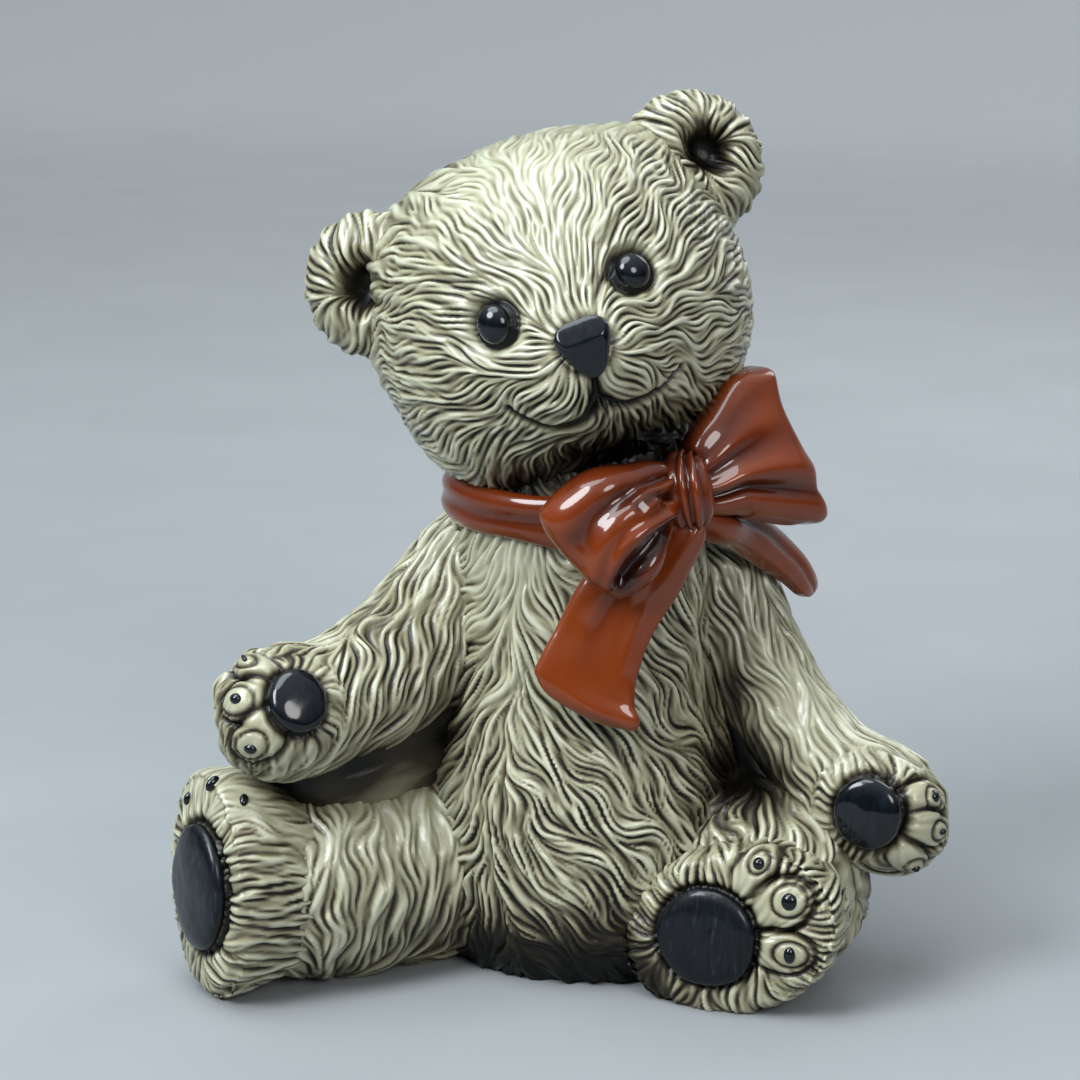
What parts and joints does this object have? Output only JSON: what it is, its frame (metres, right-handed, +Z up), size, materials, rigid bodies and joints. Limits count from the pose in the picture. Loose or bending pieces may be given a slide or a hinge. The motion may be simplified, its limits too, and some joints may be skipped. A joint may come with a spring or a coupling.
{
  "type": "cast concrete teddy bear statue",
  "caption": "Seated teddy bear with its head laid to one side and a ribbon bow at its neck, cast in one piece on a flat underside.",
  "frame": {"origin": "on the flat underside, below the middle of the body", "axes": "+Z up, -Y the way the bear's chest faces, +X towards the bear's left arm"},
  "size_m": [0.1828, 0.1241, 0.2162],
  "materials": {
    "concrete": "painted and sealed, semi-gloss"
  },
  "bodies": {
    "root": {"teddy_bear": "concrete"}
  },
  "joints": []
}
